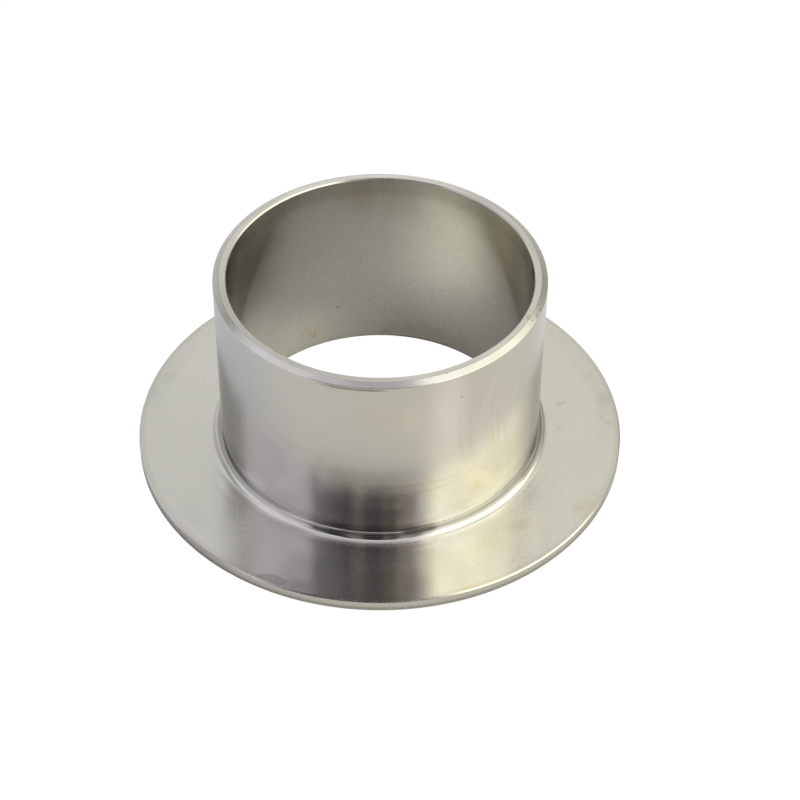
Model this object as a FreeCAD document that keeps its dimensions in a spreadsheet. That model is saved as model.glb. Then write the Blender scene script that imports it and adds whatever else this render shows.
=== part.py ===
import FreeCAD, Part
import Sketcher
import math
import os

# Lap-joint stub end for a stainless pipe line, one piece: a short length of pipe whose foot
# is flared out into a flat round lap. A loose backing flange slides over the pipe and bears
# on the back of the lap, and the pipe's upper end is welded to the line.
# Frame: origin in the middle of the lap's gasket face, +Z along the bore to the weld end.

# Driving dimensions in millimetres, one spreadsheet row each: name, value, meaning.
SIZES = [
    ("lap_diameter", 116.0, "outside of the lap"),
    ("lap_thickness", 3.0, "lap, gasket face to back"),
    ("pipe_diameter", 76.3, "outside of the pipe"),
    ("pipe_wall", 3.0, "wall of the pipe"),
    ("stub_height", 50.0, "gasket face to weld end"),
    ("corner_radius", 1.6, "hollow corner turned between the collar and the lap"),
    ("ledge_width", 0.3, "flat ledge where the pipe wall meets the collar"),
    ("ledge_round", 0.35, "round on the collar's upper edge"),
    ("bevel_width", 1.4, "weld bevel, measured across the pipe's end"),
    ("bevel_depth", 0.8, "weld bevel, measured down the pipe's outside"),
    ("edge_break", 0.3, "chamfer on the bore's two edges and the lap's two edges"),
]

# Radii and heights of the section, worked out from the driving dimensions.
RADII = {
    "bore_radius": "sizes.pipe_diameter / 2 - sizes.pipe_wall",
    "land_radius": "sizes.pipe_diameter / 2 - sizes.bevel_width",
    "pipe_radius": "sizes.pipe_diameter / 2",
    "collar_radius": "sizes.pipe_diameter / 2 + sizes.ledge_width + sizes.ledge_round",
    "lap_radius": "sizes.lap_diameter / 2",
}
HEIGHTS = {
    "lap_back_height": "sizes.lap_thickness",
    "bevel_foot_height": "sizes.stub_height - sizes.bevel_depth",
    "end_height": "sizes.stub_height",
}

START = 1
END = 2
CENTRE = 3
SKETCH_ORIGIN = (-1, 1)
HORIZONTAL_AXIS = -1


def make_sheet(doc):
    """Write the driving dimensions into a spreadsheet, one named cell each."""
    sheet = doc.addObject("Spreadsheet::Sheet", "sizes")
    for row, (name, value, meaning) in enumerate(SIZES, start=1):
        sheet.set("A%d" % row, meaning)
        sheet.set("B%d" % row, str(value))
        sheet.setAlias("B%d" % row, name)
    doc.recompute()
    return sheet


def work_out(sheet, rules):
    """The section's radii or heights in millimetres, by name."""
    return {name: float(sheet.evalExpression(rule)) for name, rule in rules.items()}


def new_sketch(body, name):
    """An empty sketch on the body's own XZ plane: radius across, height up."""
    sketch = body.newObject("Sketcher::SketchObject", name)
    plane = next(item for item in body.Origin.OriginFeatures if item.Role == "XZ_Plane")
    sketch.AttachmentSupport = [(plane, "")]
    sketch.MapMode = "FlatFace"
    return sketch


def arc(centre_radius, centre_height, radius, start_degrees, end_degrees):
    """An arc of the section, anticlockwise from one angle to the other."""
    centre = FreeCAD.Vector(centre_radius, centre_height, 0)
    circle = Part.Circle(centre, FreeCAD.Vector(0, 0, 1), radius)
    return Part.ArcOfCircle(circle, math.radians(start_degrees), math.radians(end_degrees))


def draw_sides(sketch, sheet, radii, heights):
    """Lay down the sides of the half section and return their numbers by name."""
    bore, land, pipe, collar, lap = [radii[name] for name in RADII]
    back, bevel_foot, top = [heights[name] for name in HEIGHTS]
    hollow = sheet.corner_radius
    ledge = back + hollow + sheet.ledge_round
    ledge_end = pipe + sheet.ledge_width
    lines = {
        "gasket_face": (bore, 0, lap, 0),
        "lap_rim": (lap, 0, lap, back),
        "lap_back": (lap, back, collar + hollow, back),
        "ledge": (ledge_end, ledge, pipe, ledge),
        "pipe_outside": (pipe, ledge, pipe, bevel_foot),
        "weld_bevel": (pipe, bevel_foot, land, top),
        "weld_end": (land, top, bore, top),
        "bore_wall": (bore, top, bore, 0),
    }
    sides = {}
    for name, (from_radius, from_height, to_radius, to_height) in lines.items():
        start = FreeCAD.Vector(from_radius, from_height, 0)
        end = FreeCAD.Vector(to_radius, to_height, 0)
        sides[name] = sketch.addGeometry(Part.LineSegment(start, end))
    hollow_arc = arc(collar + hollow, back + hollow, hollow, 180, 270)
    sides["hollow_corner"] = sketch.addGeometry(hollow_arc)
    round_arc = arc(ledge_end, back + hollow, sheet.ledge_round, 0, 90)
    sides["collar_round"] = sketch.addGeometry(round_arc)
    return sides


def join_sides(sketch, sides):
    """Close the outline, with smooth joints at the hollow corner and the collar's round."""
    sharp_joints = [
        ("gasket_face", "lap_rim"),
        ("lap_rim", "lap_back"),
        ("ledge", "pipe_outside"),
        ("pipe_outside", "weld_bevel"),
        ("weld_bevel", "weld_end"),
        ("weld_end", "bore_wall"),
        ("bore_wall", "gasket_face"),
    ]
    for first, second in sharp_joints:
        joint = (sides[first], END, sides[second], START)
        sketch.addConstraint(Sketcher.Constraint("Coincident", *joint))
    smooth_joints = [
        ("lap_back", END, "hollow_corner", END),
        ("hollow_corner", START, "collar_round", START),
        ("collar_round", END, "ledge", START),
    ]
    for first, first_end, second, second_end in smooth_joints:
        joint = (sides[first], first_end, sides[second], second_end)
        sketch.addConstraint(Sketcher.Constraint("Tangent", *joint))
    for name in ("lap_back", "ledge", "weld_end"):
        sketch.addConstraint(Sketcher.Constraint("Horizontal", sides[name]))
    for name in ("lap_rim", "pipe_outside", "bore_wall"):
        sketch.addConstraint(Sketcher.Constraint("Vertical", sides[name]))
    for end in (START, END):
        on_axis = (sides["gasket_face"], end, HORIZONTAL_AXIS)
        sketch.addConstraint(Sketcher.Constraint("PointOnObject", *on_axis))
    # The hollow corner and the collar's round meet where the collar's side is upright.
    level = (sides["hollow_corner"], CENTRE, sides["hollow_corner"], START)
    sketch.addConstraint(Sketcher.Constraint("Horizontal", *level))


def bind(sketch, constraint, name, rule):
    """Add a named dimension to the sketch and tie it to the spreadsheet."""
    number = sketch.addConstraint(constraint)
    sketch.renameConstraint(number, name)
    sketch.setExpression("Constraints." + name, rule)


def size_sides(sketch, sides, sheet, radii, heights):
    """Give the outline its dimensions: five radii, three heights and two rounds."""
    measured_across = {
        "bore_radius": "bore_wall",
        "land_radius": "weld_end",
        "pipe_radius": "pipe_outside",
        "collar_radius": "hollow_corner",
        "lap_radius": "lap_rim",
    }
    for name, side in measured_across.items():
        ends = (*SKETCH_ORIGIN, sides[side], START)
        bind(sketch, Sketcher.Constraint("DistanceX", *ends, radii[name]), name, RADII[name])
    measured_up = {
        "lap_back_height": "lap_back",
        "bevel_foot_height": "weld_bevel",
        "end_height": "weld_end",
    }
    for name, side in measured_up.items():
        ends = (*SKETCH_ORIGIN, sides[side], START)
        bind(sketch, Sketcher.Constraint("DistanceY", *ends, heights[name]), name, HEIGHTS[name])
    rounded = {"corner_radius": "hollow_corner", "ledge_round": "collar_round"}
    for name, side in rounded.items():
        radius = Sketcher.Constraint("Radius", sides[side], getattr(sheet, name))
        bind(sketch, radius, name, "sizes." + name)


def turn(body, sketch):
    """Turn the half section once round the bore's axis."""
    turned = body.newObject("PartDesign::Revolution", "turned_blank")
    turned.Profile = sketch
    turned.ReferenceAxis = (sketch, ["V_Axis"])
    turned.Angle = 360.0
    body.Document.recompute()
    return turned


def ring_edges(shape, places):
    """Names of the circular edges at the given (radius, height) places."""
    close = 1e-4
    names = []
    for number, edge in enumerate(shape.Edges, start=1):
        if not isinstance(edge.Curve, Part.Circle):
            continue
        radius = edge.Curve.Radius
        height = edge.Curve.Center.z
        if any(abs(radius - r) < close and abs(height - z) < close for r, z in places):
            names.append("Edge%d" % number)
    if len(names) != len(places):
        raise RuntimeError("found %d edges for %d places" % (len(names), len(places)))
    return names


def chamfer(body, base, name, places, size):
    """Chamfer the edges at the given places by a size from the spreadsheet."""
    cut = body.newObject("PartDesign::Chamfer", name)
    cut.Base = (base, ring_edges(base.Shape, places))
    cut.setExpression("Size", "sizes." + size)
    body.Document.recompute()
    return cut


def make_stub_end(doc, sheet):
    """The whole stub end: the turned blank, then its four broken edges."""
    body = doc.addObject("PartDesign::Body", "stub_end")
    body.Label = "stub_end"
    body.Placement = FreeCAD.Placement()

    radii = work_out(sheet, RADII)
    heights = work_out(sheet, HEIGHTS)
    sketch = new_sketch(body, "half_section")
    sides = draw_sides(sketch, sheet, radii, heights)
    join_sides(sketch, sides)
    size_sides(sketch, sides, sheet, radii, heights)
    turned = turn(body, sketch)

    broken_edges = [
        (radii["bore_radius"], heights["end_height"]),
        (radii["bore_radius"], 0.0),
        (radii["lap_radius"], 0.0),
        (radii["lap_radius"], heights["lap_back_height"]),
    ]
    body.Tip = chamfer(body, turned, "edge_breaks", broken_edges, "edge_break")
    return body


def check(doc, pieces):
    """Stop with a plain message if anything failed to build."""
    for item in doc.Objects:
        if "Invalid" in item.State or "Error" in item.State:
            raise RuntimeError("%s did not build: %s" % (item.Label, item.State))
    for piece in pieces:
        shape = piece.Shape
        if shape.isNull() or not shape.isValid() or len(shape.Solids) != 1:
            raise RuntimeError("%s is not one valid solid" % piece.Label)


def main():
    """Build the document, check it, and write one STEP file for each piece."""
    doc = FreeCAD.newDocument("pipe_stub_end")
    sheet = make_sheet(doc)
    pieces = [make_stub_end(doc, sheet)]
    doc.recompute()
    check(doc, pieces)
    os.makedirs("parts", exist_ok=True)
    for piece in pieces:
        piece.Shape.exportStep("parts/%s.step" % piece.Label)
        print("%s: %.1f mm3" % (piece.Label, piece.Shape.Volume))


main()
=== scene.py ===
"""Studio picture of a stainless lap-joint stub end, standing on its lap.

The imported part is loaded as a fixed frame, its one node is replaced by a turned mesh with
finished surfaces, and a floor, a soft studio light and the camera are set round it.
Everything is in metres, origin in the middle of the lap's gasket face, +Z up the bore.
"""

import logging
import math
from dataclasses import dataclass, field
from enum import Enum

import bpy
from mathutils import Matrix, Vector


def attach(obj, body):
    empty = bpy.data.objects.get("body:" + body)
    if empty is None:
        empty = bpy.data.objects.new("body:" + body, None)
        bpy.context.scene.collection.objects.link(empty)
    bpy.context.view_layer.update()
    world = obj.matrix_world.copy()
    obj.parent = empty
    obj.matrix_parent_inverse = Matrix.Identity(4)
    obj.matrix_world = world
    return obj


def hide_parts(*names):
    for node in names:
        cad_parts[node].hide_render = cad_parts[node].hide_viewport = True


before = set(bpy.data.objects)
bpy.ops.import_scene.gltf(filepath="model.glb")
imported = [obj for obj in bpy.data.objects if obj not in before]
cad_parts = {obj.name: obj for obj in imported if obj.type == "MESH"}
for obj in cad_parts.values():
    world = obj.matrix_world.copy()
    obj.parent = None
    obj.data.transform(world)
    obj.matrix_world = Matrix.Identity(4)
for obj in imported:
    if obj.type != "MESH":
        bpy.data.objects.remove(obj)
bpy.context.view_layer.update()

LOG = logging.getLogger("stub_end")
MM = 0.001
MICRON = 0.001 * MM
BODY = "root"
NODE = "stub_end"

Socket = bpy.types.NodeSocket
Colour = tuple[float, float, float]
Span = tuple[float, float]


def even(factor: float) -> Colour:
    """A grey, or a tint that darkens or lightens red, green and blue alike."""
    return (factor, factor, factor)


class Zone(Enum):
    """The surfaces of the stub end that are finished differently."""

    GASKET_FACE = "gasket_face"
    LAP_RIM = "lap_rim"
    LAP_BACK = "lap_back"
    COLLAR = "collar"
    WALL = "wall"
    WELD_END = "weld_end"
    BORE = "bore"


class Lay(Enum):
    """How a surface lies, which sets how its marks are laid out."""

    UPRIGHT = "upright"
    LEVEL = "level"


def clear_selection() -> None:
    """Deselect every object, so that the next operator acts on what it adds."""
    if bpy.context.mode != "OBJECT":
        bpy.ops.object.mode_set(mode="OBJECT")
    bpy.ops.object.select_all(action="DESELECT")


class NodeBench:
    """Adds and wires shader nodes in one tree, one short call per node."""

    def __init__(self, tree: bpy.types.NodeTree) -> None:
        """Start on an empty tree.

        Args:
            tree: node tree of a material or world.
        """
        self.tree = tree
        tree.nodes.clear()

    def add(self, kind: str, **settings: object) -> bpy.types.Node:
        """Add a node and set its own properties.

        Args:
            kind: Blender's class name of the node.
            **settings: properties of the node, by name.

        Returns:
            The new node.
        """
        node = self.tree.nodes.new(kind)
        for name, value in settings.items():
            setattr(node, name, value)
        return node

    def plug(self, value: object, socket: Socket) -> None:
        """Link an output to a socket, or set the socket when the value is plain."""
        if isinstance(value, bpy.types.NodeSocket):
            self.tree.links.new(value, socket)
        else:
            socket.default_value = value

    def maths(self, operation: str, *values: object, clamp: bool = False) -> Socket:
        """A Math node.

        Args:
            operation: name of the operation, such as "ADD".
            *values: numbers or outputs for its inputs, in order.
            clamp: keep the result between 0 and 1.

        Returns:
            Its output.
        """
        node = self.add("ShaderNodeMath", operation=operation, use_clamp=clamp)
        for socket, value in zip(node.inputs, values):
            self.plug(value, socket)
        return node.outputs[0]

    def vector(self, operation: str, *values: object, scale: float = 1.0) -> Socket:
        """A Vector Math node.

        Args:
            operation: name of the operation, such as "ADD".
            *values: vectors or outputs for its inputs, in order.
            scale: factor of the SCALE operation.

        Returns:
            Its vector, or its number where the operation gives one.
        """
        node = self.add("ShaderNodeVectorMath", operation=operation)
        for socket, value in zip(node.inputs, values):
            self.plug(value, socket)
        if operation == "SCALE":
            self.plug(scale, node.inputs["Scale"])
        return node.outputs["Value" if operation in ("LENGTH", "DOT_PRODUCT") else "Vector"]

    def split(self, vector: Socket) -> tuple[Socket, Socket, Socket]:
        """The three numbers of a vector."""
        node = self.add("ShaderNodeSeparateXYZ")
        self.plug(vector, node.inputs[0])
        return tuple(node.outputs)

    def join(self, x: object, y: object, z: object) -> Socket:
        """A vector of three numbers."""
        node = self.add("ShaderNodeCombineXYZ")
        for socket, value in zip(node.inputs, (x, y, z)):
            self.plug(value, socket)
        return node.outputs[0]

    def noise(self, vector: Socket, scale: float, detail: float = 2.0) -> bpy.types.Node:
        """A noise texture; its first output is a number round 0.5, its second a colour."""
        node = self.add("ShaderNodeTexNoise")
        self.plug(vector, node.inputs["Vector"])
        node.inputs["Scale"].default_value = scale
        node.inputs["Detail"].default_value = detail
        return node

    def swing(self, value: Socket, reach: float, middle: float = 1.0) -> Socket:
        """A noise value stretched to run from middle - reach to middle + reach."""
        return self.maths("MULTIPLY_ADD", value, 2 * reach, middle - reach)

    def tint(self, share: object, colour: Socket, tint: Colour) -> Socket:
        """A colour multiplied by a tint, in the given share."""
        node = self.add("ShaderNodeMix", data_type="RGBA", blend_type="MULTIPLY",
                        clamp_factor=True)
        self.plug(share, node.inputs[0])
        self.plug(colour, node.inputs[6])
        self.plug((*tint, 1.0), node.inputs[7])
        return node.outputs[2]

    def fade(self, value: object, low: float, high: float,
             start: float = 0.0, end: float = 1.0) -> Socket:
        """A smooth step of a value from start, below low, to end, above high."""
        node = self.add("ShaderNodeMapRange", interpolation_type="SMOOTHSTEP")
        for name, number in (("Value", value), ("From Min", low), ("From Max", high),
                             ("To Min", start), ("To Max", end)):
            self.plug(number, node.inputs[name])
        return node.outputs["Result"]

    def band(self, value: object, low: float, high: float, soft: float) -> Socket:
        """1 between low and high, fading to 0 over a soft width round each limit."""
        rising = self.fade(value, low - soft, low + soft)
        falling = self.fade(value, high - soft, high + soft, 1.0, 0.0)
        return self.maths("MULTIPLY", rising, falling)

    def blend(self, share: object, under: object, over: object) -> Socket:
        """Mix two colours.

        Args:
            share: how much of the upper colour shows, 0 to 1.
            under: lower colour or output.
            over: upper colour or output.

        Returns:
            The mixed colour.
        """
        node = self.add("ShaderNodeMix", data_type="RGBA", clamp_factor=True)
        self.plug(share, node.inputs[0])
        for value, socket in ((under, node.inputs[6]), (over, node.inputs[7])):
            if isinstance(value, tuple) and len(value) == 3:
                value = (*value, 1.0)
            self.plug(value, socket)
        return node.outputs[2]


@dataclass(frozen=True)
class Edge:
    """A circular edge of the section, in millimetres."""

    radius: float
    height: float


@dataclass
class RingLathe:
    """Grows a turned mesh ring by ring, from a circle that is extruded and scaled.

    Attributes:
        steps: number of straight runs round the axis.
        radius: radius of the last ring in millimetres.
        height: height of the last ring in millimetres.
    """

    steps: int = 512
    radius: float = 0.0
    height: float = 0.0

    def start(self, name: str, edge: Edge) -> bpy.types.Object:
        """Add the first ring and go into edit mode on it.

        Args:
            name: name for the object.
            edge: place of the ring.

        Returns:
            The new object.
        """
        clear_selection()
        bpy.ops.mesh.primitive_circle_add(
            vertices=self.steps, radius=edge.radius * MM, location=(0, 0, 0))
        ring = bpy.context.active_object
        ring.name = ring.data.name = name
        bpy.ops.object.mode_set(mode="EDIT")
        bpy.ops.mesh.select_all(action="SELECT")
        bpy.ops.transform.translate(value=(0, 0, edge.height * MM))
        self.radius, self.height = edge.radius, edge.height
        return ring

    def pull(self, edge: Edge) -> None:
        """Extrude the last ring to a new radius and height."""
        bpy.ops.mesh.extrude_region_move(
            TRANSFORM_OT_translate={"value": (0, 0, (edge.height - self.height) * MM)})
        share = edge.radius / self.radius
        if abs(share - 1) > 1e-9:
            bpy.ops.transform.resize(value=(share, share, 1), center_override=(0, 0, 0))
        self.radius, self.height = edge.radius, edge.height

    def pull_straight(self, edge: Edge, runs: int) -> None:
        """Extrude along a straight side in equal runs."""
        first = Edge(self.radius, self.height)
        for run in range(1, runs + 1):
            share = run / runs
            self.pull(Edge(first.radius + (edge.radius - first.radius) * share,
                           first.height + (edge.height - first.height) * share))

    def pull_round(self, centre: Edge, radius: float, begin: float, end: float,
                   runs: int) -> None:
        """Extrude along an arc of the section.

        Args:
            centre: middle of the arc.
            radius: its radius in millimetres.
            begin: angle of its first point in degrees, from straight outwards.
            end: angle of its last point in degrees.
            runs: number of runs along it.
        """
        for run in range(1, runs + 1):
            angle = math.radians(begin + (end - begin) * run / runs)
            self.pull(Edge(centre.radius + radius * math.cos(angle),
                           centre.height + radius * math.sin(angle)))

    def pull_toe(self, edge: Edge, power: float, runs: int) -> None:
        """Extrude along a toe that leaves a level surface slowly and ends steep.

        Args:
            edge: its upper end.
            power: how late it rises, 2 for a parabola.
            runs: number of runs along it.
        """
        first = Edge(self.radius, self.height)
        for run in range(1, runs + 1):
            share = run / runs
            rise = (edge.height - first.height) * share ** power
            self.pull(Edge(first.radius + (edge.radius - first.radius) * share,
                           first.height + rise))

    def close(self) -> None:
        """Join the last ring to the first and turn the faces outwards."""
        bpy.ops.mesh.select_all(action="SELECT")
        bpy.ops.mesh.remove_doubles(threshold=1e-7)
        bpy.ops.mesh.normals_make_consistent(inside=False)


@dataclass
class StubEnd:
    """The stub end: pipe, collar and lap in one turned piece. Sizes in millimetres.

    Attributes:
        corner_radius: radius of the hollow between lap and pipe.
        ledge_width: width of the ledge over the hollow.
        ledge_round: radius of the round on the ledge's edge.
        bevel_width: how far the weld bevel goes in.
        bevel_depth: how far the weld bevel goes down.
        toe_reach: how far the toe of the hollow reaches, each side of the hollow's centre.
        toe_rise: height of the toe's upper end over the lap.
        toe_power: how late the toe rises.
        wall_foot: height of the wall's first run.
        facet: size of the small facets at the ends of the bevel.
        facet_rise: how far the lower facet rises into the bevel.
        facet_start: where the upper facet starts, out from the land and down.
        crisp_from: angle in degrees over which an edge stays crisp.
        finishes: steel finish of each surface.
    """

    lap_radius: float = 58.0
    lap_thickness: float = 3.0
    pipe_radius: float = 38.15
    bore_radius: float = 35.15
    height: float = 50.0
    corner_radius: float = 1.6
    ledge_width: float = 0.3
    ledge_round: float = 0.35
    bevel_width: float = 1.4
    bevel_depth: float = 0.8
    edge_break: float = 0.3
    toe_reach: float = 0.8
    toe_rise: float = 0.2144
    toe_power: float = 4.3
    wall_foot: float = 0.2
    facet: float = 0.05
    facet_rise: float = 0.03
    facet_start: Span = (0.06, 0.035)
    crisp_from: float = 12.0
    finishes: dict[Zone, "Steel"] = field(default_factory=dict)

    def build(self) -> bpy.types.Object:
        """Turn the mesh, finish its surfaces and tie it to the frame.

        Returns:
            The finished piece.
        """
        piece = self.turn_section()
        self.soften_edges(piece)
        self.dress(piece)
        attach(piece, BODY)
        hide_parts(NODE)
        return piece

    def turn_section(self) -> bpy.types.Object:
        """Trace the section once round, from the gasket face's inner edge outwards."""
        lathe = RingLathe()
        cut = self.edge_break
        back = self.lap_thickness
        collar = self.pipe_radius + self.ledge_width + self.ledge_round
        hollow = Edge(collar + self.corner_radius, back + self.corner_radius)
        ledge = hollow.height + self.ledge_round
        top = self.height
        piece = lathe.start("stub_end_turned", Edge(self.bore_radius + cut, 0))
        lathe.pull_straight(Edge(self.lap_radius - cut, 0), runs=12)
        lathe.pull(Edge(self.lap_radius, cut))
        lathe.pull_straight(Edge(self.lap_radius, back - cut), runs=4)
        lathe.pull(Edge(self.lap_radius - cut, back))
        lathe.pull_straight(Edge(hollow.radius + self.toe_reach, back), runs=12)
        lathe.pull_toe(Edge(hollow.radius - self.toe_reach, back + self.toe_rise),
                       self.toe_power, runs=8)
        lathe.pull_round(hollow, self.corner_radius, begin=240, end=180, runs=10)
        centre = Edge(collar - self.ledge_round, hollow.height)
        lathe.pull_round(centre, self.ledge_round, begin=0, end=90, runs=6)
        lathe.pull(Edge(self.pipe_radius, ledge))
        lathe.pull(Edge(self.pipe_radius, ledge + self.wall_foot))
        bevel = top - self.bevel_depth
        lathe.pull_straight(Edge(self.pipe_radius, bevel - self.facet), runs=24)
        lathe.pull(Edge(self.pipe_radius - self.facet, bevel + self.facet_rise))
        land = self.pipe_radius - self.bevel_width
        out, down = self.facet_start
        lathe.pull_straight(Edge(land + out, top - down), runs=2)
        lathe.pull(Edge(land - self.facet, top))
        lathe.pull_straight(Edge(self.bore_radius + cut, top), runs=2)
        lathe.pull(Edge(self.bore_radius, top - cut))
        lathe.pull_straight(Edge(self.bore_radius, cut), runs=24)
        lathe.pull(Edge(self.bore_radius + cut, 0))
        lathe.close()
        return piece

    def soften_edges(self, piece: bpy.types.Object) -> None:
        """Leave the mesh smooth round the axis, with its turned edges crisp."""
        clear_selection()
        piece.select_set(True)
        bpy.context.view_layer.objects.active = piece
        bpy.ops.object.shade_smooth_by_angle(angle=math.radians(self.crisp_from))

    def zone_of(self, centre: Vector) -> Zone:
        """The surface that a face belongs to, from the middle of the face."""
        radius = math.hypot(centre.x, centre.y) / MM
        height = centre.z / MM
        slack = 0.02
        if height < slack:
            return Zone.GASKET_FACE
        if radius > self.lap_radius - self.edge_break - slack and height < self.lap_thickness:
            return Zone.LAP_RIM
        if radius < self.bore_radius + slack:
            return Zone.BORE
        if radius < self.pipe_radius + slack and height > self.height - self.bevel_depth:
            return Zone.WELD_END
        if height < self.lap_thickness + slack and radius > self.pipe_radius:
            return Zone.LAP_BACK
        if radius > self.pipe_radius + slack:
            return Zone.COLLAR
        middle = (self.pipe_radius + self.bore_radius) / 2
        return Zone.WALL if radius > middle else Zone.BORE

    def dress(self, piece: bpy.types.Object) -> None:
        """Give each surface its finish."""
        places: dict[Zone, int] = {}
        for zone, finish in self.finishes.items():
            piece.data.materials.append(finish.material(zone))
            places[zone] = len(places)
        for face in piece.data.polygons:
            face.material_index = places[self.zone_of(face.center)]


@dataclass(frozen=True)
class Mark:
    """A stain, scratch, patch of painted highlight or patch of painted shade on a surface.
    Lengths in millimetres.

    Attributes:
        turn: degrees round the axis from the front, positive to the right.
        place: height on an upright surface, radius on a level one.
        size: its length round the axis, and its width along the section.
        tint: factors on the metal's tone.
        tilt: degrees that its length is turned from running round the axis.
        soft: share of its size over which it fades, 1 for all of it.
        ragged: how far its outline wanders.
        share: how much of it shows.
    """

    turn: float
    place: float
    size: Span
    tint: Colour
    tilt: float = 0.0
    soft: float = 1.0
    ragged: float = 0.0
    share: float = 1.0


@dataclass(frozen=True)
class Brushing:
    """A patch of fine curved polishing streaks. Lengths in millimetres.

    Attributes:
        area: the patch that is brushed.
        pitch: distance between streaks.
        run: length of a streak.
        bend: how fast the streaks curve, per millimetre.
        swing: how much the tone varies from streak to streak.
        depth: depth of the streaks in micrometres.
    """

    area: Mark
    pitch: float
    run: float
    bend: float
    swing: float
    depth: float


@dataclass(frozen=True)
class Band:
    """A ring of another tone, or a part of one; most rings are painted highlight, where
    reflections fall brighter, and painted shade, where they fall darker.

    Its place is the radius less the height, in millimetres.

    Attributes:
        start: inner or upper edge of the ring.
        end: outer or lower edge of the ring.
        soft: half the width over which each edge fades.
        tint: factors on the metal's tone.
        sweep: first and last turn that it covers, in degrees, or None for the whole ring.
        ends: half the turn over which its ends fade, in degrees.
    """

    start: float
    end: float
    soft: float
    tint: Colour
    sweep: Span | None = None
    ends: float = 6.0


class SurfaceMap:
    """Says where a point of a surface lies, in millimetres and degrees."""

    WANDER_SCALE = 0.28
    WANDER_DETAIL = 2.5
    RING_DRIFT = 0.03

    def __init__(self, bench: NodeBench, lay: Lay, radius: float) -> None:
        """Lay out the coordinates of one surface.

        Args:
            bench: bench of the material.
            lay: how the surface lies.
            radius: radius of an upright surface, to measure round it.
        """
        self.bench = bench
        self.lay = lay
        self.sheet_radius = radius
        spot = bench.add("ShaderNodeTexCoord").outputs["Object"]
        self.spot = bench.vector("SCALE", spot, scale=1 / MM)
        self.x, self.y, height = bench.split(self.spot)
        across = bench.join(self.x, self.y, 0.0)
        from_axis = bench.vector("LENGTH", across)
        self.along = bench.maths("SUBTRACT", from_axis, height)
        turn = bench.maths("ARCTAN2", self.x, bench.maths("MULTIPLY", self.y, -1.0))
        self.turn = bench.maths("DEGREES", turn)
        if lay is Lay.LEVEL:
            self.flat = across
        else:
            self.flat = bench.join(bench.maths("MULTIPLY", turn, radius), height, 0.0)
        wander = bench.noise(self.spot, self.WANDER_SCALE, self.WANDER_DETAIL).outputs[1]
        self.wander = bench.vector("MULTIPLY", bench.vector("SUBTRACT", wander, even(0.5)),
                                   (2.0, 2.0, 0.0))

    def local(self, mark: Mark, half: Span) -> Socket:
        """Coordinates about the middle of a mark, along it and across it.

        Args:
            mark: mark that they are centred on and turned with.
            half: lengths that become 1.

        Returns:
            The coordinates.
        """
        bench = self.bench
        turn = math.radians(mark.turn)
        if self.lay is Lay.LEVEL:
            centre = (mark.place * math.sin(turn), -mark.place * math.cos(turn), 0.0)
            angle = turn + math.radians(mark.tilt)
        else:
            centre = (self.sheet_radius * turn, mark.place, 0.0)
            angle = math.radians(mark.tilt)
        flat = self.flat
        if mark.ragged:
            shift = bench.vector("SCALE", self.wander, scale=mark.ragged)
            flat = bench.vector("ADD", flat, shift)
        frame_of = bench.add("ShaderNodeMapping", vector_type="TEXTURE")
        bench.plug(flat, frame_of.inputs["Vector"])
        frame_of.inputs["Location"].default_value = centre
        frame_of.inputs["Rotation"].default_value = (0.0, 0.0, angle)
        frame_of.inputs["Scale"].default_value = (*half, 1.0)
        return frame_of.outputs[0]

    def patch(self, mark: Mark) -> Socket:
        """How much of a mark shows: its share in the middle, none outside it."""
        half = (mark.size[0] / 2, mark.size[1] / 2)
        out = self.bench.vector("LENGTH", self.local(mark, half))
        return self.bench.fade(out, 1 - mark.soft, 1.0, mark.share, 0.0)

    def ring(self, band: Band) -> Socket:
        """How much of a ring shows: 1 on it, none beside it or past its ends."""
        share = self.bench.band(self.along, band.start, band.end, band.soft)
        if band.sweep:
            sector = self.bench.band(self.turn, *band.sweep, band.ends)
            share = self.bench.maths("MULTIPLY", share, sector)
        return share

    def streaks(self, brushing: Brushing) -> Socket:
        """The pattern of a brushing, a number round 0.5 that varies across its streaks."""
        bench = self.bench
        across, up, _ = bench.split(self.local(brushing.area, (1.0, 1.0)))
        curve = bench.maths("MULTIPLY", bench.maths("MULTIPLY", up, up), brushing.bend)
        straight = bench.maths("DIVIDE", bench.maths("SUBTRACT", across, curve), brushing.pitch)
        place = bench.join(straight, bench.maths("DIVIDE", up, brushing.run), 0.0)
        return bench.noise(place, 1.0, 2.0).outputs[0]

    def rings(self, pitch: float) -> Socket:
        """Fine turned lines round the axis, a number round 0.5."""
        bench = self.bench
        place = bench.join(bench.maths("DIVIDE", self.along, pitch),
                           bench.maths("MULTIPLY", self.x, self.RING_DRIFT),
                           bench.maths("MULTIPLY", self.y, self.RING_DRIFT))
        return bench.noise(place, 1.0, 2.0).outputs[0]

    def section_direction(self) -> Socket:
        """The direction along the section: up a wall, out on a lap."""
        bench = self.bench
        round_axis = bench.join(bench.maths("MULTIPLY", self.y, -1.0), self.x, 0.0)
        facing = bench.add("ShaderNodeNewGeometry").outputs["Normal"]
        return bench.vector("NORMALIZE", bench.vector("CROSS_PRODUCT", facing, round_axis))


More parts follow.
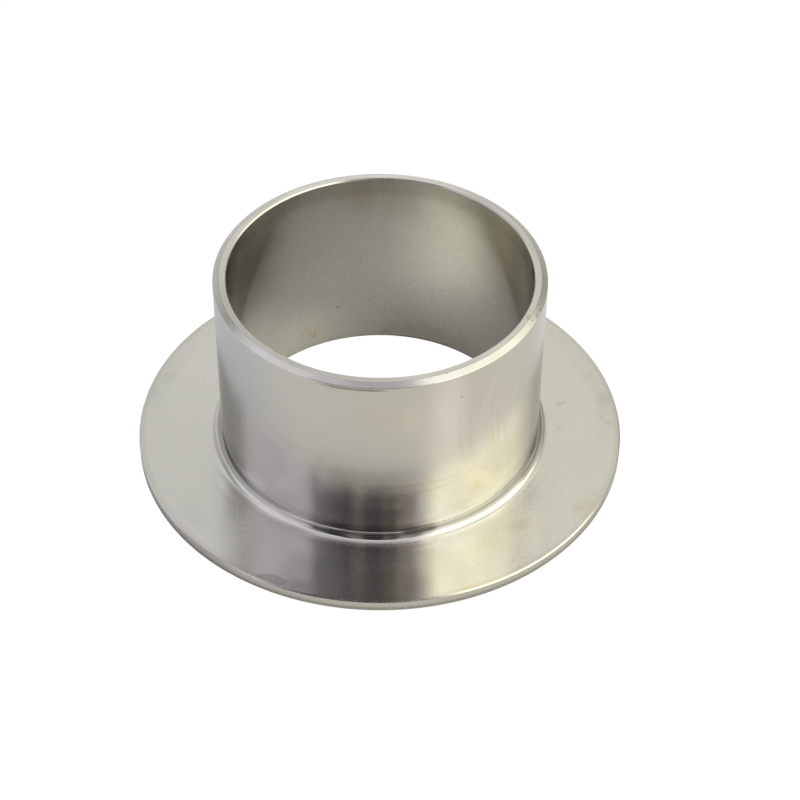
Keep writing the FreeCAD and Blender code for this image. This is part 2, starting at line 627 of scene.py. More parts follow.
@dataclass(frozen=True)
class Steel:
    """A satin stainless finish whose reflections smear along the section, not round it.

    Attributes:
        tone: reflected colour of the metal.
        clear: roughness of the smoothest spots.
        dull: roughness of the dullest spots.
        smear: how much further reflections spread along the section than round the axis.
        grain: how much the tone varies from grain to grain.
        grain_size: size of the grain in millimetres.
        clouds: how much the tone varies over wide clouds.
        ring_depth: depth of the turned lines in micrometres.
        ring_pitch: distance between turned lines in millimetres.
        waves: depth of the wide, shallow waves in micrometres.
        cloud_scale: clouds and waves per millimetre.
        dulling: grain at which the roughness starts to leave clear, and reaches dull.
        fleck: how much the hue varies, as a share of the grain.
        lay: how the surface lies.
        radius: radius of an upright surface in millimetres.
        bands: its rings of another tone, most of them painted highlight and painted shade.
        marks: its stains and scratches, and its patches of painted highlight and painted shade.
        brushing: its polishing streaks, if any.
    """

    tone: Colour = (0.62, 0.605, 0.575)
    clear: float = 0.17
    dull: float = 0.23
    smear: float = 0.85
    grain: float = 0.1
    grain_size: float = 0.36
    clouds: float = 0.02
    ring_depth: float = 0.5
    ring_pitch: float = 0.5
    waves: float = 5.0
    cloud_scale: float = 0.07
    dulling: Span = (0.45, 0.75)
    fleck: float = 0.6
    lay: Lay = Lay.LEVEL
    radius: float = 38.15
    bands: tuple[Band, ...] = ()
    marks: tuple[Mark, ...] = ()
    brushing: Brushing | None = None

    def material(self, zone: Zone) -> bpy.types.Material:
        """Make the material for a surface.

        Args:
            zone: surface it dresses, which names it.

        Returns:
            The material.
        """
        made = bpy.data.materials.new("steel_" + zone.value)
        made.use_nodes = True
        bench = NodeBench(made.node_tree)
        place = SurfaceMap(bench, self.lay, self.radius)
        grain = bench.noise(place.spot, 1 / self.grain_size, 3.0)
        cloud = bench.noise(place.spot, self.cloud_scale, 3.0).outputs[0]
        rings = place.rings(self.ring_pitch)
        shades = bench.maths("MULTIPLY", bench.swing(grain.outputs[0], self.grain),
                             bench.swing(cloud, self.clouds))
        colour = bench.vector("SCALE", self.tone, scale=shades)
        colour = bench.vector("MULTIPLY", colour, self.hue_grain(bench, grain.outputs[1]))
        rough = bench.fade(grain.outputs[0], *self.dulling, self.clear, self.dull)
        height = bench.maths("MULTIPLY", rings, self.ring_depth)
        height = bench.maths("MULTIPLY_ADD", cloud, self.waves, height)
        # Bands and marks tint the tone: stains and scratches, and painted highlight and painted
        # shade where reflections fall brighter or darker.
        shares = [(band, place.ring(band)) for band in self.bands]
        shares += [(mark, place.patch(mark)) for mark in self.marks]
        for spot, share in shares:
            colour = bench.tint(share, colour, spot.tint)
        if self.brushing:
            streaks = place.streaks(self.brushing)
            share = place.patch(self.brushing.area)
            shade = bench.swing(streaks, self.brushing.swing, 0.0)
            shade = bench.maths("MULTIPLY_ADD", shade, share, 1.0)
            colour = bench.vector("SCALE", colour, scale=shade)
            cut = bench.maths("MULTIPLY", streaks, self.brushing.depth)
            height = bench.maths("MULTIPLY_ADD", cut, share, height)
        bump = bench.add("ShaderNodeBump")
        bump.inputs["Distance"].default_value = MICRON
        bench.plug(height, bump.inputs["Height"])
        shader = bench.add("ShaderNodeBsdfPrincipled")
        shader.inputs["Metallic"].default_value = 1.0
        shader.inputs["Anisotropic"].default_value = self.smear
        bench.plug(colour, shader.inputs["Base Color"])
        bench.plug(rough, shader.inputs["Roughness"])
        bench.plug(place.section_direction(), shader.inputs["Tangent"])
        bench.plug(bump.outputs[0], shader.inputs["Normal"])
        out = bench.add("ShaderNodeOutputMaterial")
        bench.plug(shader.outputs[0], out.inputs["Surface"])
        return made

    def hue_grain(self, bench: NodeBench, noise: Socket) -> Socket:
        """Faint warm and cool flecks, as factors on the tone."""
        swing = self.grain * self.fleck
        stretched = bench.vector("SCALE", noise, scale=2 * swing)
        return bench.vector("ADD", stretched, (1 - swing, 1 - swing, 1 - swing))


BROWN = (0.9, 0.84, 0.68)
YELLOW = (0.98, 0.93, 0.76)
GREY = (0.86, 0.86, 0.87)
DARK = (0.55, 0.53, 0.5)
STREAK = (0.96, 0.935, 0.86)

WALL_STEEL = Steel(
    tone=(0.64, 0.624, 0.593), lay=Lay.UPRIGHT, radius=38.15, ring_depth=0.6, ring_pitch=0.45,
    bands=(
        # Painted shade and painted highlight: darker rings at the wall's foot by the collar,
        # lighter and darker strips at the front, and a thin dark line under the bevel at the
        # front, where the studio's reflections fall darker or brighter.
        Band(30.8, 34.5, 0.6, (0.87, 0.86, 0.86), sweep=(-100, 18)),
        Band(31.5, 34.5, 0.4, (0.7, 0.68, 0.68), sweep=(-17, 12)),
        Band(28.5, 34.5, 2.0, (0.7, 0.69, 0.69), sweep=(48, 100)),
        Band(26.5, 34.5, 2.5, even(0.88), sweep=(64, 100)),
        Band(27.5, 34.5, 2.5, even(0.78), sweep=(-100, -58)),
        Band(29.0, 34.5, 1.0, (0.7, 0.7, 0.71), sweep=(-100, -55)),
        Band(30.2, 34.5, 0.8, even(0.68), sweep=(68, 100), ends=5),
        Band(31.3, 34.5, 0.8, even(0.68), sweep=(78, 100), ends=4),
        Band(30.8, 32.9, 0.4, (0.84, 0.84, 0.85), sweep=(34, 56)),
        Band(32.3, 34.5, 0.3, (0.8, 0.79, 0.78), sweep=(8.5, 19.5), ends=2),
        Band(16.6, 21.6, 1.8, even(1.33), sweep=(-21, 12), ends=3),
        Band(14.5, 33.0, 2.0, (1.2, 1.2, 1.22), sweep=(-23, -17.5), ends=3),
        Band(24.5, 33.5, 1.5, even(0.78), sweep=(-21, -12.5), ends=2.5),
        Band(19.0, 32.5, 1.5, even(1.13), sweep=(-9.5, -5.5), ends=1.5),
        Band(28.0, 33.0, 1.0, (0.93, 0.93, 0.94), sweep=(20, 32), ends=3),
        Band(26.2, 31.3, 1.0, (0.79, 0.78, 0.78), sweep=(-11, 9), ends=3),
        Band(13.0, 33.0, 2.0, even(0.88), sweep=(15.5, 19.5), ends=2.5),
        Band(-10.8, -10.2, 0.15, (0.52, 0.51, 0.52), sweep=(-19, 1), ends=4),
    ),
    marks=(
        # Painted highlight: lighter patches at the front and on the right, where the window's
        # reflection streaks up the wall.
        Mark(38, 28, (16, 24), (1.12, 1.11, 1.1)),
        Mark(76, 42, (20, 24), (1.07, 1.08, 1.1)),
        Mark(11, 39, (8, 16), even(1.08)),
        Mark(23, 38, (15, 56), (1.27, 1.26, 1.26)),
        Mark(48, 40, (26, 34), (1.06, 1.05, 1.05)),
        # A warmer ragged patch.
        Mark(41, 15, (30, 24), (1.0, 0.985, 0.9), ragged=1.0),
        # Painted shade: darker patches where the wall's reflections fall darker.
        Mark(56, 17, (17, 26), even(0.87)),
        Mark(14, 7, (5, 9), (0.85, 0.84, 0.83)),
        Mark(-90, 20, (9, 46), even(0.86)),
        Mark(46, 15, (18, 24), (0.93, 0.92, 0.92)),
        Mark(-40, 8, (24, 18), (0.9, 0.9, 0.92)),
        Mark(-34, 17, (14, 11), (0.93, 0.93, 0.94)),
        # Streaks, smudges, stains, nicks and specks.
        Mark(15, 19.1, (26, 1.3), (0.94, 0.91, 0.82), soft=0.9, ragged=0.3),
        Mark(18, 16.7, (22, 1.2), (0.94, 0.91, 0.82), tilt=4, soft=0.9, ragged=0.4),
        Mark(32.8, 18.9, (4.4, 1.6), STREAK, tilt=24, soft=0.9, ragged=0.4),
        Mark(38.2, 17.4, (6.7, 1.4), STREAK, tilt=-43, soft=0.9, ragged=0.5),
        Mark(45.5, 14.3, (5.7, 1.3), STREAK, tilt=-6, soft=0.9, ragged=0.6),
        Mark(50.8, 13.8, (3.8, 1.8), STREAK, tilt=30, soft=0.9, ragged=0.6),
        Mark(36, 12.7, (6.0, 6.5), (0.97, 0.95, 0.9), tilt=-15, ragged=0.8),
        Mark(32.3, 27, (1.0, 13), STREAK, tilt=-1, soft=0.9, ragged=0.2, share=0.6),
        Mark(31.0, 26, (0.7, 9), STREAK, tilt=-1, soft=0.9, ragged=0.2, share=0.4),
        Mark(41.9, 24.5, (1.0, 14), STREAK, tilt=8, soft=0.9, ragged=0.25, share=0.6),
        Mark(43.6, 23, (0.7, 10), STREAK, tilt=7, soft=0.9, ragged=0.2, share=0.4),
        Mark(48.8, 18.5, (0.9, 9), STREAK, tilt=7, soft=0.9, ragged=0.3, share=0.5),
        Mark(45.3, 5.9, (1.3, 0.8), DARK, soft=0.9, share=0.7),
        Mark(-48.5, 44.3, (2.8, 0.45), DARK, tilt=-30, soft=0.9),
        Mark(27.9, 42.8, (1.9, 0.4), DARK, tilt=-65, soft=0.9),
        Mark(-44.2, 19.3, (0.9, 0.9), DARK),
        Mark(36, 44.5, (1.1, 0.9), GREY),
        Mark(-20, 42, (0.8, 0.6), GREY),
        Mark(-36, 40, (0.8, 0.6), GREY),
        Mark(-38, 24, (8, 5), even(0.95), ragged=1.0),
        Mark(-32, 27.5, (7, 4), even(0.96), ragged=1.0),
        Mark(-15, 48.0, (9, 1.6), (0.94, 0.91, 0.86), ragged=0.7),
        Mark(5, 40, (24, 9), (1.0, 0.985, 0.94), ragged=1.0),
        # Painted shade: a cooler, darker patch on the left.
        Mark(-70, 19, (14, 26), (0.94, 0.95, 0.97)),
    ),
    brushing=Brushing(Mark(40, 32, (34, 42), GREY, soft=0.7, ragged=0.6),
                      pitch=1.0, run=22.0, bend=0.0135, swing=0.15, depth=0.3),
)
# Painted highlight: lighter rings on the hollow's toe, where its bright reflection falls.
HOLLOW_PAINTED_HIGHLIGHT = (
    Band(36.6, 37.8, 0.3, even(1.2), sweep=(14, 68)),
    Band(36.8, 38.0, 0.3, even(1.25), sweep=(-70, -34)),
    Band(36.5, 37.0, 0.2, even(1.2), sweep=(-100, -70)),
    Band(36.8, 38.4, 0.35, (1.55, 1.55, 1.57), sweep=(-23, 16), ends=4),
)
LAP_STEEL = Steel(
    grain=0.14, grain_size=0.42, ring_depth=0.3, ring_pitch=0.6,
    bands=HOLLOW_PAINTED_HIGHLIGHT + (
        Band(53.7, 56, 0.4, (0.93, 0.925, 0.91)),
        # Painted highlight: lighter rings beside the hollow.
        Band(38.2, 40.2, 0.9, (1.26, 1.26, 1.25), sweep=(8, 17), ends=6),
        Band(37.2, 39.2, 0.5, (1.14, 1.14, 1.13), sweep=(38, 66)),
        Band(36.9, 38.4, 0.3, even(1.12), sweep=(20, 46)),
        # A warm, darker band at the lap's edge on the right.
        Band(54.4, 56, 0.3, (0.88, 0.87, 0.84), sweep=(84, 106)),
        # Painted shade: the dark band across the lap's front, where the lap reflects the wall's
        # dark foot.
        Band(44.0, 56, 2.5, (0.82, 0.82, 0.83), sweep=(-25, -15), ends=3),
        Band(43.5, 56, 3.0, even(0.74), sweep=(-16.5, -9), ends=2.5),
        # Painted highlight beside the hollow on the left.
        Band(37.4, 40.3, 0.5, even(1.16), sweep=(-62, -50), ends=3),
        # Slightly darker towards the lap's edge on both sides.
        Band(50.0, 56, 1.5, even(0.955), sweep=(84, 135)),
        Band(50.0, 56, 1.5, even(0.96), sweep=(-135, -95)),
        # Painted shade: the middle of the lap's dark band at the front.
        Band(45.5, 56, 3.0, (0.81, 0.8, 0.79), sweep=(-8, 11.5), ends=3.5),
    ),
    marks=(
        # Painted highlight and painted shade: lighter and darker patches where the lap's
        # reflections fall brighter or darker.
        Mark(-41, 49, (26, 8), even(1.18), tilt=131),
        Mark(40.4, 52.5, (34, 9), even(1.1), tilt=49.6),
        Mark(24, 43.5, (14, 9), (1.13, 1.14, 1.2)),
        Mark(25, 48.5, (15, 10), even(1.07)),
        Mark(-53, 53, (20, 8), even(0.95)),
        Mark(-19, 56, (9, 6), (0.72, 0.72, 0.73)),
        Mark(9, 54.5, (11, 14), (0.8, 0.8, 0.81)),
        Mark(49, 46, (38, 9), (1.13, 1.12, 1.12), tilt=41),
        # A dull patch, then stains, streaks, nicks and specks.
        Mark(-25.4, 56.7, (8.6, 3.3), (0.76, 0.75, 0.745), tilt=8, soft=0.3, ragged=0.3),
        Mark(43.4, 47.2, (11.0, 7.5), (0.955, 0.935, 0.88), tilt=-42, ragged=0.9),
        Mark(44.0, 47.2, (7.5, 5.0), (0.955, 0.94, 0.92), tilt=-10, soft=0.8, ragged=0.8),
        Mark(39.6, 45.6, (7.0, 4.0), (0.98, 0.965, 0.92), tilt=-40, ragged=0.8),
        Mark(60.5, 56.0, (15, 7), (0.945, 0.92, 0.84), ragged=0.9),
        Mark(58, 54.2, (6, 4), (0.96, 0.93, 0.84), ragged=0.9),
        Mark(98.6, 44.6, (1.5, 3.4), BROWN, tilt=8, soft=0.5, ragged=0.6),
        Mark(92.8, 41.6, (8.5, 0.6), STREAK, tilt=-28, soft=0.9, ragged=0.2),
        Mark(108, 54, (1.3, 8), YELLOW, tilt=20, soft=0.8, ragged=0.8),
        Mark(105, 48.5, (1.0, 9), YELLOW, tilt=28, ragged=0.6, share=0.6),
        Mark(99, 55.5, (9, 5), (0.89, 0.88, 0.85), ragged=1.0),
        Mark(92.3, 53.9, (2.4, 2.0), (0.93, 0.88, 0.76), soft=0.9, ragged=0.8),
        Mark(90.3, 55.4, (2.4, 2.6), (0.93, 0.88, 0.76), soft=0.9, ragged=0.8),
        Mark(83.6, 52.6, (8.5, 0.7), STREAK, tilt=-66, soft=0.8, ragged=0.2),
        Mark(80, 48.2, (1.2, 2.2), YELLOW, tilt=-10, ragged=0.5),
        Mark(81.2, 46.0, (1.0, 2.4), GREY, ragged=0.6, share=0.7),
        Mark(88, 43.6, (3, 3), GREY, ragged=0.8, share=0.6),
        Mark(73.5, 51.1, (6.5, 0.6), STREAK, tilt=-28, soft=0.9, ragged=0.2, share=0.8),
        Mark(66.0, 49.0, (1.4, 5), even(0.97), tilt=30, ragged=0.6),
        Mark(59.8, 48.8, (1.2, 0.8), GREY, soft=0.8),
        Mark(55.6, 44.6, (3.4, 3.4), (0.95, 0.95, 0.94), ragged=0.8),
        Mark(53, 44, (1.2, 0.8), GREY, soft=0.8),
        Mark(-107, 54.9, (8, 7), even(0.93), ragged=0.5),
        Mark(-100, 56.5, (14, 3), (0.96, 0.96, 0.95), ragged=0.9),
        Mark(-124, 57, (12, 2), YELLOW, ragged=0.8, share=0.7),
        Mark(20, 57.2, (10, 1.4), YELLOW, ragged=0.6),
        Mark(25.8, 51.2, (0.9, 0.9), GREY, soft=0.8),
        Mark(25.2, 50.2, (0.7, 0.7), GREY, soft=0.8),
        Mark(27, 52.2, (0.6, 0.6), GREY, soft=0.8),
        Mark(33.8, 54.6, (1.3, 1.0), GREY, soft=0.6),
        Mark(11.4, 52.7, (0.7, 0.6), DARK),
        Mark(16, 48.5, (0.6, 0.5), GREY),
        Mark(-41, 49.5, (1.0, 0.8), GREY),
        Mark(-62, 50, (1.0, 0.4), BROWN, tilt=40),
        Mark(31, 55, (9, 0.5), GREY, soft=0.9, ragged=0.4, share=0.5),
        Mark(31, 56, (8, 0.4), GREY, soft=0.9, ragged=0.4, share=0.5),
    ),
)
COLLAR_STEEL = Steel(
    clear=0.13, dull=0.17, smear=0.5, grain=0.05, ring_depth=0.1, ring_pitch=0.25, waves=1.0,
    bands=(
        # Painted shade: darker rings on the ledge, its round and the top of the hollow; painted
        # highlight: lighter rings in the hollow, where the reflections fall darker or brighter.
        Band(33.4, 34.7, 0.25, (0.72, 0.72, 0.74), sweep=(12, 100)),
        Band(33.55, 34.3, 0.2, (0.68, 0.67, 0.67), sweep=(14, 66)),
        Band(34.3, 34.9, 0.3, (0.62, 0.62, 0.6), sweep=(52, 100), ends=10),
        Band(33.0, 33.8, 0.2, even(0.55), sweep=(-100, -66), ends=6),
        Band(34.1, 35.4, 0.3, even(0.78), sweep=(-100, -48), ends=10),
        Band(33.35, 34.6, 0.2, (0.38, 0.37, 0.36), sweep=(7.5, 19.5), ends=2),
        Band(33.0, 33.65, 0.15, even(0.55), sweep=(70, 100), ends=5),
        Band(33.35, 34.2, 0.2, even(0.64), sweep=(-68, -34), ends=5),
        Band(35.45, 36.2, 0.15, even(0.85), sweep=(-70, -59), ends=4),
        Band(34.7, 35.3, 0.2, even(1.2), sweep=(-100, -70)),
        Band(36.6, 37.2, 0.2, even(1.15), sweep=(-100, -70)),
        Band(34.3, 34.8, 0.2, even(1.2), sweep=(-50, -17)),
        Band(33.6, 34.9, 0.3, (0.85, 0.85, 0.86), sweep=(36, 54)),
        Band(35.2, 36.3, 0.25, (1.5, 1.5, 1.52), sweep=(-24, 12), ends=4),
    ) + HOLLOW_PAINTED_HIGHLIGHT,
)
END_STEEL = Steel(
    clear=0.22, dull=0.3, smear=0.95, grain=0.02, ring_depth=0.2, ring_pitch=0.2,
    bands=(
        Band(-13.31, -13.19, 0.06, (0.78, 0.74, 0.68)),
        # Painted highlight and painted shade on the weld bevel, the land and the bore's top
        # edge, where their reflections fall brighter or darker.
        Band(-13.2, -11.0, 0.1, even(1.17), sweep=(-60, -42)),
        Band(-13.2, -11.0, 0.1, even(1.18), sweep=(-28, -11), ends=5),
        Band(-13.2, -11.0, 0.1, (1.08, 1.08, 1.1), sweep=(10, 29), ends=4),
        Band(-13.2, -11.0, 0.1, (0.87, 0.88, 0.9), sweep=(41, 60), ends=5),
        Band(-14.4, -13.6, 0.15, even(0.86), sweep=(-82, 8)),
        Band(-12.9, -11.3, 0.2, (1.22, 1.22, 1.24), sweep=(140, 176)),
        Band(-12.2, -11.3, 0.2, even(1.16), sweep=(-150, -110)),
        Band(-14.5, -13.1, 0.1, even(1.1), sweep=(-170, -140)),
        Band(-14.5, -13.1, 0.1, even(1.08), sweep=(150, 170)),
        Band(-14.8, -14.5, 0.05, (1.4, 1.38, 1.36), sweep=(60, 110)),
        Band(-14.8, -14.5, 0.05, (1.4, 1.38, 1.36), sweep=(-115, -68)),
        Band(-14.8, -14.5, 0.05, (0.85, 0.84, 0.83), sweep=(112, 160)),
    ),
    marks=(
        Mark(68.8, 35.9, (2.2, 0.7), GREY, tilt=12, soft=0.8, ragged=0.5),
        Mark(68, 37.6, (2.4, 0.8), (0.7, 0.67, 0.6), tilt=8, soft=0.8, ragged=0.8),
        Mark(71.5, 37.9, (1.8, 0.7), (0.72, 0.69, 0.6), soft=0.8, ragged=0.8),
        Mark(64.5, 37.2, (1.2, 0.6), DARK, soft=0.9, ragged=0.5),
        Mark(65, 36.2, (3.5, 1.6), (0.75, 0.73, 0.68), ragged=0.4),
        Mark(157, 36.4, (1.2, 1.4), BROWN, soft=0.9, ragged=0.4),
        Mark(17, 37.0, (0.8, 0.3), DARK, soft=0.9),
        Mark(23, 36.9, (0.7, 0.3), DARK, soft=0.9),
        Mark(-66, 37.3, (4.0, 1.4), (0.95, 0.92, 0.9), ragged=0.5),
        Mark(-37, 38.0, (0.5, 0.3), DARK, soft=0.9),
        # Painted shade and painted highlight on the bevel and land, where their reflections
        # fall darker or brighter.
        Mark(30, 36.8, (32, 6), (0.92, 0.92, 0.925)),
        Mark(180, 36.4, (26, 3.4), even(1.2)),
        Mark(138, 36.4, (24, 3.4), even(0.88)),
        Mark(-130, 36.4, (26, 3.4), (0.88, 0.88, 0.87)),
        Mark(-32, 36.4, (18, 2.2), even(0.92)),
    ),
)
BORE_STEEL = Steel(
    tone=(0.66, 0.643, 0.568), lay=Lay.UPRIGHT, radius=35.15, clear=0.15, dull=0.21,
    grain=0.2, grain_size=0.5,
    clouds=0.03, ring_depth=0.4, ring_pitch=0.6, waves=3.0,
    bands=(
        Band(-15.5, -10.2, 1.6, (0.82, 0.81, 0.8)),
        # Painted shadow along the bore's bottom edge, strongest at the back right.
        Band(34.6, 36.0, 0.25, (0.8, 0.78, 0.75)),
        Band(34.5, 36.0, 0.25, (0.6, 0.58, 0.55), sweep=(138, 172)),
    ),
    marks=(
        # Painted shade and painted highlight inside the bore: darker sides and top, and a
        # brighter glow at the back right where the reflection of the floor's pool of light
        # falls.
        Mark(175, 45, (16, 22), even(0.8)),
        Mark(168, 33, (38, 28), (0.93, 0.93, 0.935)),
        Mark(-153, 21, (26, 20), even(1.06)),
        Mark(167, 43, (12, 20), (0.86, 0.86, 0.87)),
        Mark(-175, 44, (16, 18), even(0.9)),
        Mark(144, 46, (12, 14), (0.9, 0.9, 0.91)),
        Mark(-108, 20, (10, 22), even(0.84)),
        Mark(108, 46, (22, 18), (0.66, 0.65, 0.63)),
        Mark(132, 45, (16, 18), even(0.84)),
        Mark(-122, 42, (34, 24), (0.77, 0.77, 0.76)),
        Mark(-105, 30, (14, 14), (0.74, 0.74, 0.73)),
        Mark(150, 38, (34, 40), (1.15, 1.15, 1.14), ragged=1.0),
        Mark(151, 21, (38, 44), (1.3, 1.3, 1.28), ragged=1.0),
        Mark(112, 40, (46, 40), (0.6, 0.57, 0.5), ragged=1.5),
        Mark(-107, 35, (46, 48), (0.5, 0.485, 0.46), ragged=1.5),
        # A warmer ragged patch near the top, and small stains.
        Mark(-172, 45, (18, 12), (0.93, 0.9, 0.82), ragged=3.0),
        Mark(-162.6, 11.0, (2.0, 1.6), (0.72, 0.69, 0.6), ragged=0.3),
        Mark(-165.2, 12.9, (1.8, 1.4), (0.85, 0.83, 0.76), ragged=0.3),
        Mark(178, 2, (2.4, 1.6), (0.65, 0.62, 0.55), ragged=1.0),
        # Painted highlight low at the back left.
        Mark(-148, 8, (30, 20), (1.12, 1.12, 1.11)),
        # Warmer, darker patches low in the bore.
        Mark(-150, 6, (14, 9), (0.98, 0.95, 0.86), ragged=3.0),
        Mark(-152, 4, (3, 3), (0.88, 0.85, 0.78), ragged=1.0),
        Mark(160, 3, (50, 8), (0.94, 0.9, 0.84), ragged=4.0),
    ),
)
RIM_STEEL = Steel(
    tone=(0.63, 0.614, 0.582), lay=Lay.UPRIGHT, radius=58.0, clear=0.24, dull=0.32, smear=0.6,
    ring_depth=0.6, ring_pitch=0.25,
    # Painted shade: the rim darker towards the floor, all round.
    bands=(Band(56.7, 60, 0.5, (0.7, 0.69, 0.68)),),
    marks=(
        # Painted shade: the rim darker on the left and on the right, most on the right.
        Mark(-48, 1.3, (50, 9), (0.8, 0.79, 0.79)),
        Mark(66, 1.3, (34, 9), (0.8, 0.79, 0.76)),
        Mark(86, 1.3, (30, 9), (0.46, 0.45, 0.43)),
        # A thin dark line near the rim's top on the left.
        Mark(-42, 2.9, (30, 1.0), (0.7, 0.69, 0.7), soft=0.8),
    ),
)
FACE_STEEL = Steel(clear=0.2, dull=0.3, smear=0.7, ring_depth=9.0, ring_pitch=0.5)

FINISHES = {
    Zone.GASKET_FACE: FACE_STEEL,
    Zone.LAP_RIM: RIM_STEEL,
    Zone.LAP_BACK: LAP_STEEL,
    Zone.COLLAR: COLLAR_STEEL,
    Zone.WALL: WALL_STEEL,
    Zone.WELD_END: END_STEEL,
    Zone.BORE: BORE_STEEL,
}


@dataclass(frozen=True)
class Panel:
    """A soft-edged patch of light or shade round the object, by compass and height.

    Attributes:
        name: what stands there in the studio.
        turn: its two sides in degrees, 0 towards the camera and positive to the right.
        lift: its lower and upper edge in degrees above the floor.
        soft: width of its soft edges in degrees, across and up.
        light: its colour and brightness.
    """

    name: str
    turn: Span
    lift: Span
    soft: Span
    light: Colour


@dataclass
class Studio:
    """The floor and the soft light. Lengths in metres.

    Attributes:
        floor_tone: colour of the floor, as the steel sees it.
        painted_cool_tint: painted light colour, a cool tint of the floor behind the object,
            standing in for cooler light there.
        painted_warm_tint: painted light colour, a warm tint of the floor ahead of the object,
            standing in for warmer light there.
        cool_to_warm: where the one tint turns into the other, measured ahead.
        slant: how far the tints' border leans to the right.
        bore_painted_light_right: painted light, how much the floor inside the bore is
            brightened on the right.
        bore_painted_light_left: painted light, how much the floor inside the bore is brightened
            on the left, a brighter pool.
        glow_to_right: where the left's brightness turns into the right's.
        bore_edge: where the floor inside the bore ends, from the axis.
        far_painted_shade: painted shade, how bright the floor stays far ahead of the object.
        far_ahead: where the far floor begins and ends its fade, as seen along the floor.
        floor_shadow: how much of the floor's light the object can shade.
        paper: brightness of the floor that the camera sees.
        room: light between the panels.
        panels: what stands round the object, each over the ones before it.
    """

    floor_size: float = 12.0
    floor_tone: Colour = even(0.84)
    painted_cool_tint: Colour = (0.95, 0.975, 1.08)
    painted_warm_tint: Colour = (1.02, 1.0, 0.96)
    cool_to_warm: Span = (-0.09, 0.11)
    slant: float = 0.5
    bore_painted_light_right: float = 1.12
    bore_painted_light_left: float = 1.37
    glow_to_right: Span = (-0.012, 0.004)
    bore_edge: Span = (0.033, 0.037)
    far_painted_shade: float = 0.12
    far_ahead: Span = (-0.16, -0.115)
    floor_shadow: float = 0.04
    paper: float = 1.03
    room: Colour = (0.86, 0.87, 0.86)
    panels: tuple[Panel, ...] = (
        Panel("back_left", (-400, -160), (-10, 37), (8, 3), (1.02, 1.02, 1.0)),
        Panel("back_right", (160, 400), (-10, 37), (8, 3), (1.05, 1.05, 1.0)),
        Panel("left_wall", (-108, -45), (12, 74), (10, 8), (0.88, 0.88, 1.0)),
        Panel("left_skirting", (-162, -112), (-10, 28), (6, 4), (0.7, 0.7, 0.68)),
        Panel("left_shelf", (-160, -114), (28, 54), (4, 4), even(0.42)),
        Panel("left_lamp", (-112, -60), (53, 66), (6, 4), (1.05, 1.03, 1.05)),
        Panel("right_wall", (110, 186), (28, 76), (6, 6), (0.98, 0.98, 0.87)),
        Panel("right_shelf", (120, 162), (-10, 51), (6, 4), (0.76, 0.75, 0.66)),
        Panel("right_skirting", (126, 166), (8, 32), (4, 4), (0.44, 0.43, 0.38)),
        Panel("jamb", (111, 134), (34, 60), (6, 5), (1.32, 1.3, 1.12)),
        Panel("window", (34, 117), (4, 60), (5, 5), (2.15, 2.13, 1.74)),
        Panel("sill", (98, 128), (-10, 20), (5, 4), (0.72, 0.7, 0.6)),
        Panel("ceiling", (-400, 400), (63, 100), (1, 5), (0.68, 0.665, 0.72)),
        Panel("lamp", (44, 112), (57, 77), (6, 3), (1.55, 1.54, 1.4)),
        Panel("lamp_end", (92, 114), (50, 62), (4, 3), (1.5, 1.49, 1.36)),
        Panel("dark_doorway", (-50, 4), (-10, 59), (1.2, 3), (0.022, 0.022, 0.028)),
        Panel("door_leaf", (-62, -43), (-10, 31), (3, 4), (0.8, 0.8, 0.84)),
        Panel("door_corner", (-52, -35), (26, 38), (3, 2), (0.4, 0.4, 0.42)),
        Panel("door_head", (-62, -30), (51, 62), (4, 3), (0.7, 0.7, 0.74)),
        Panel("lit_strip", (-20.5, -11), (-10, 59), (0.8, 3), (0.16, 0.15, 0.145)),
        Panel("door_frame", (4, 13), (-10, 59), (1.2, 3), (0.08, 0.055, 0.045)),
        Panel("curtain", (13, 26), (-10, 54), (1.5, 3), (0.27, 0.235, 0.21)),
    )

    def lay_floor(self) -> bpy.types.Object:
        """Lay the pale floor under the lap.

        Returns:
            The floor.
        """
        clear_selection()
        bpy.ops.mesh.primitive_plane_add(size=self.floor_size, location=(0, 0, 0))
        floor = bpy.context.active_object
        floor.name = floor.data.name = "studio_floor"
        paper = bpy.data.materials.new("floor_paper")
        paper.use_nodes = True
        bench = NodeBench(paper.node_tree)
        x, y, _ = bench.split(bench.add("ShaderNodeTexCoord").outputs["Object"])
        # Painted light colour: the floor is tinted cool behind the object and warm ahead of it,
        # in place of the colour of the light falling there.
        ahead = bench.maths("MULTIPLY_ADD", x, self.slant, bench.maths("MULTIPLY", y, -1.0))
        share = bench.fade(ahead, *self.cool_to_warm)
        colour = bench.vector("MULTIPLY", bench.blend(share, self.painted_cool_tint, self.painted_warm_tint),
                              self.floor_tone)
        # Painted light: the floor inside the bore is brightened, most on the left, where the
        # window's light would fall through the bore; the steel sees it in its reflections, the
        # camera sees the plain paper.
        from_axis = bench.vector("LENGTH", bench.join(x, y, 0.0))
        left = bench.fade(x, *self.glow_to_right, self.bore_painted_light_left, self.bore_painted_light_right)
        lit = bench.maths("MULTIPLY_ADD", bench.maths("SUBTRACT", left, 1.0),
                          bench.fade(from_axis, *self.bore_edge, 1.0, 0.0), 1.0)
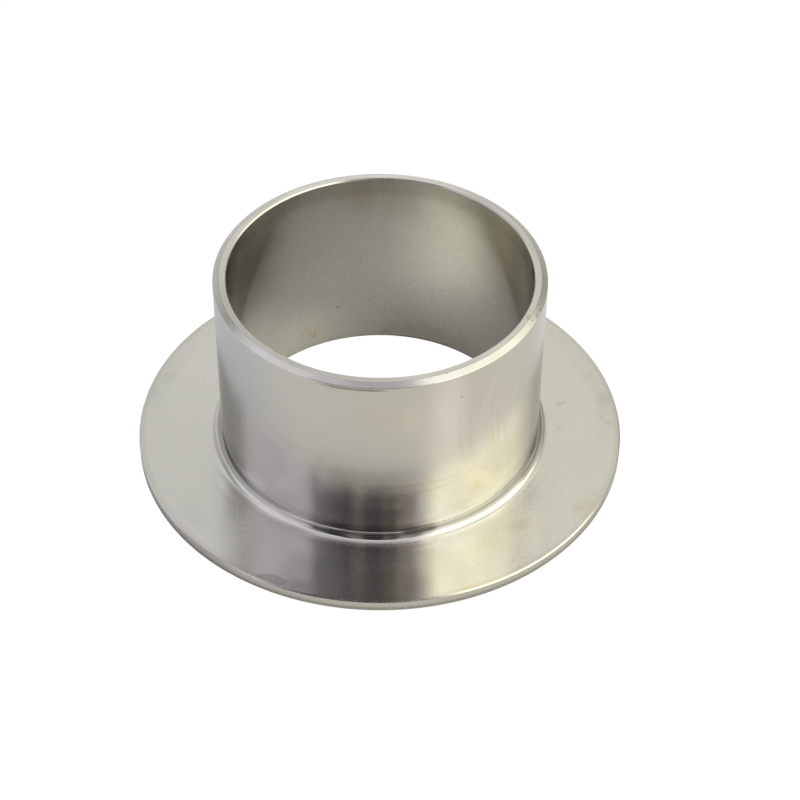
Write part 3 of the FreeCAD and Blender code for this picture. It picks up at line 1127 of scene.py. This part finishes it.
        # Painted shade: the floor far ahead of the object is darkened, for the steel's
        # reflections only.
        lit = bench.maths("MULTIPLY", lit, bench.fade(y, *self.far_ahead, self.far_painted_shade, 1.0))
        colour = bench.vector("SCALE", colour, scale=lit)
        paper_look = bench.add("ShaderNodeBsdfDiffuse")
        bench.plug(colour, paper_look.inputs["Color"])
        faint = bench.add("ShaderNodeBsdfDiffuse")
        bench.plug((*even(self.floor_shadow), 1.0), faint.inputs["Color"])
        lift = bench.add("ShaderNodeEmission")
        lift.inputs["Strength"].default_value = self.paper - self.floor_shadow
        bright = bench.add("ShaderNodeAddShader")
        bench.plug(faint.outputs[0], bright.inputs[0])
        bench.plug(lift.outputs[0], bright.inputs[1])
        path = bench.add("ShaderNodeLightPath")
        both = bench.add("ShaderNodeMixShader")
        bench.plug(path.outputs["Is Camera Ray"], both.inputs[0])
        bench.plug(paper_look.outputs[0], both.inputs[1])
        bench.plug(bright.outputs[0], both.inputs[2])
        out = bench.add("ShaderNodeOutputMaterial")
        bench.plug(both.outputs[0], out.inputs["Surface"])
        floor.data.materials.append(paper)
        return floor

    def hang_light(self) -> bpy.types.World:
        """Surround the object with the soft light of the studio.

        Returns:
            The world that gives the light.
        """
        world = bpy.data.worlds.new("studio_light")
        bpy.context.scene.world = world
        world.use_nodes = True
        bench = NodeBench(world.node_tree)
        way = bench.add("ShaderNodeTexCoord").outputs["Generated"]
        parts = bench.add("ShaderNodeSeparateXYZ")
        bench.plug(way, parts.inputs[0])
        x, y, z = parts.outputs
        back = bench.maths("MULTIPLY", y, -1.0)
        turn = bench.maths("DEGREES", bench.maths("ARCTAN2", x, back))
        lift = bench.maths("DEGREES", bench.maths("ARCSINE", z))
        light: object = self.room
        for panel in self.panels:
            across = bench.band(turn, *panel.turn, panel.soft[0])
            up = bench.band(lift, *panel.lift, panel.soft[1])
            light = bench.blend(bench.maths("MULTIPLY", across, up), light, panel.light)
        path = bench.add("ShaderNodeLightPath")
        seen = bench.blend(path.outputs["Is Camera Ray"], light, even(1.0))
        glow = bench.add("ShaderNodeBackground")
        bench.plug(seen, glow.inputs["Color"])
        out = bench.add("ShaderNodeOutputWorld")
        bench.plug(glow.outputs[0], out.inputs["Surface"])
        return world


@dataclass(frozen=True)
class Camera:
    """The camera at the photograph's viewing angle.

    Places in metres, angles in degrees, lens and sensor in millimetres.
    """

    place: tuple[float, float, float] = (0.0, -0.377026, 0.361857)
    pitch: float = 42.985
    yaw: float = 0.7264
    roll: float = 0.6251
    lens: float = 96.72
    sensor: float = 36.0
    near: float = 0.01
    far: float = 50.0

    def set_up(self) -> bpy.types.Object:
        """Add the camera and make it the scene's own.

        Returns:
            The camera.
        """
        down, side, tilt = (math.radians(a) for a in (self.pitch, self.yaw, self.roll))
        ahead = Vector((math.sin(side) * math.cos(down),
                        math.cos(side) * math.cos(down), -math.sin(down)))
        right = ahead.cross(Vector((0, 0, 1))).normalized()
        up = right.cross(ahead)
        across = right * math.cos(tilt) + up * math.sin(tilt)
        upward = up * math.cos(tilt) - right * math.sin(tilt)
        turn = Matrix((across, upward, -ahead)).transposed()
        data = bpy.data.cameras.new("camera")
        data.lens = self.lens
        data.sensor_width = self.sensor
        data.sensor_fit = "HORIZONTAL"
        data.clip_start = self.near
        data.clip_end = self.far
        camera = bpy.data.objects.new("camera", data)
        camera.matrix_world = Matrix.Translation(self.place) @ turn.to_4x4()
        bpy.context.scene.collection.objects.link(camera)
        bpy.context.scene.camera = camera
        return camera


def main() -> None:
    """Build the picture in order: camera, floor, light, then the stub end."""
    logging.basicConfig(level=logging.INFO, format="%(name)s: %(message)s")
    bpy.context.scene.view_settings.view_transform = "Standard"
    Camera().set_up()
    studio = Studio()
    studio.lay_floor()
    studio.hang_light()
    piece = StubEnd(finishes=FINISHES).build()
    LOG.info("%s: %d faces", piece.name, len(piece.data.polygons))


if __name__ == "__main__":
    main()
